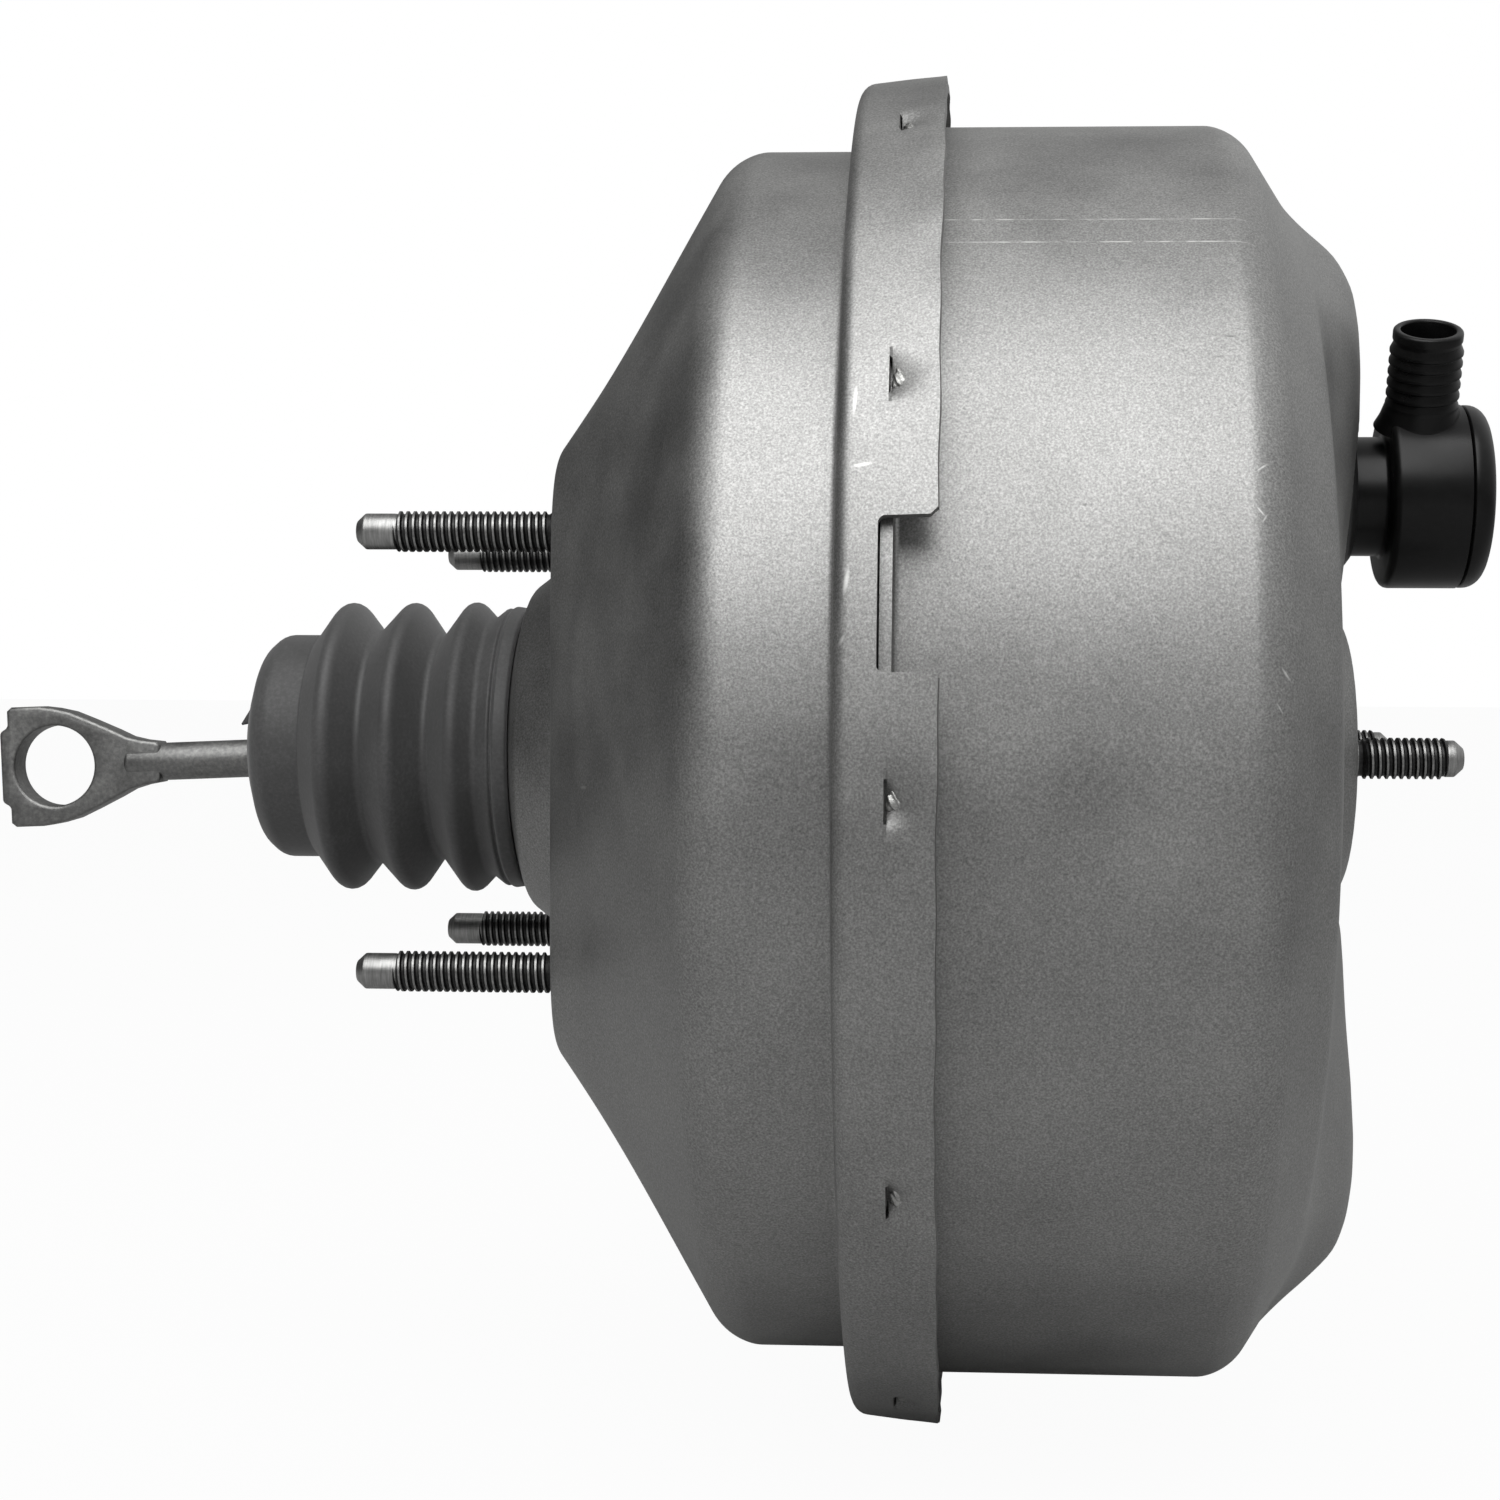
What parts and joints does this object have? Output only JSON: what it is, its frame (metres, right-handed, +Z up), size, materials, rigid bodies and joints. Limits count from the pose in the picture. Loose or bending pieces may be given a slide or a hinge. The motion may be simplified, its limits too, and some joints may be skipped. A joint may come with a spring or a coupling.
{
  "type": "vacuum brake booster",
  "caption": "Round two-chamber vacuum brake booster with studded firewall face, bellows boot, pedal pushrod and side check valve.",
  "frame": {"origin": "centre of the firewall mounting face, on the booster's axis", "axes": "+X along the axis towards the master cylinder, +Z up, -Y the side that the vacuum nipple leans to"},
  "size_m": [0.3086, 0.2736, 0.2736],
  "materials": {
    "plated_steel": "satin bead-blasted and clear-passivated pressed steel",
    "bare_steel": "plain pressed steel sheet",
    "stud_steel": "phosphated rolled studs",
    "spring_steel": "cold drawn wire",
    "rod_steel": "forged and machined rod",
    "black_rubber": "moulded nitrile rubber",
    "boot_rubber": "dull moulded rubber bellows",
    "phenolic": "moulded filled phenolic",
    "nylon": "moulded nylon",
    "felt": "filter felt",
    "valve_plastic": "glossy black moulded nylon"
  },
  "bodies": {
    "housing": {"rear_shell": "plated_steel", "rear_stiffening_plate": "bare_steel", "firewall_studs": "stud_steel", "front_shell": "plated_steel", "front_stiffening_plate": "bare_steel", "master_cylinder_studs": "stud_steel", "rear_hub_seal": "black_rubber", "hub_bearing": "nylon", "output_rod_seal": "black_rubber", "divider_plate": "bare_steel", "divider_seal": "black_rubber", "rear_diaphragm": "black_rubber", "front_diaphragm": "black_rubber", "piston_return_spring": "spring_steel", "dust_boot": "boot_rubber", "check_valve_grommet": "black_rubber"},
    "power_piston": {"valve_body": "phenolic", "rear_support_plate": "bare_steel", "front_support_plate": "bare_steel", "stop_key": "bare_steel", "reaction_disc": "black_rubber", "output_rod": "rod_steel", "output_rod_retainer": "bare_steel", "control_poppet": "black_rubber", "poppet_retainer": "bare_steel", "poppet_spring": "spring_steel", "pushrod_return_spring": "spring_steel", "air_filter": "felt", "air_silencer": "felt"},
    "plunger": {"air_valve_plunger": "rod_steel"},
    "pushrod": {"pedal_pushrod": "rod_steel"},
    "check_valve": {"check_valve_body": "valve_plastic", "check_valve_cap": "valve_plastic", "check_valve_spring": "spring_steel"},
    "check_poppet": {"check_valve_poppet": "black_rubber"}
  },
  "joints": [
    {"name": "piston_stroke", "type": "slide", "parent": "housing", "child": "power_piston", "axis": [1, 0, 0], "range_m": [0, 0.032], "stiffness_N_per_m": 2500, "springref_m": -0.02, "deforming": ["dust_boot", "piston_return_spring", "rear_diaphragm", "front_diaphragm"]},
    {"name": "pushrod_travel", "type": "slide", "parent": "power_piston", "child": "plunger", "axis": [1, 0, 0], "range_m": [0, 0.0025], "stiffness_N_per_m": 2000, "springref_m": -0.003, "deforming": ["poppet_spring", "pushrod_return_spring"]},
    {"name": "pushrod_swing", "type": "hinge", "parent": "plunger", "child": "pushrod", "pos_m": [-0.01, 0, 0], "axis": [0, 1, 0], "range_deg": [0, 5]},
    {"name": "check_valve_swivel", "type": "hinge", "parent": "housing", "child": "check_valve", "pos_m": [0.1684, -0.015, 0.052], "axis": [1, 0, 0], "continuous": true},
    {"name": "check_poppet_lift", "type": "slide", "parent": "check_valve", "child": "check_poppet", "axis": [1, 0, 0], "range_m": [0, 0.0015], "stiffness_N_per_m": 150, "springref_m": -0.002, "deforming": ["check_valve_spring"]}
  ]
}
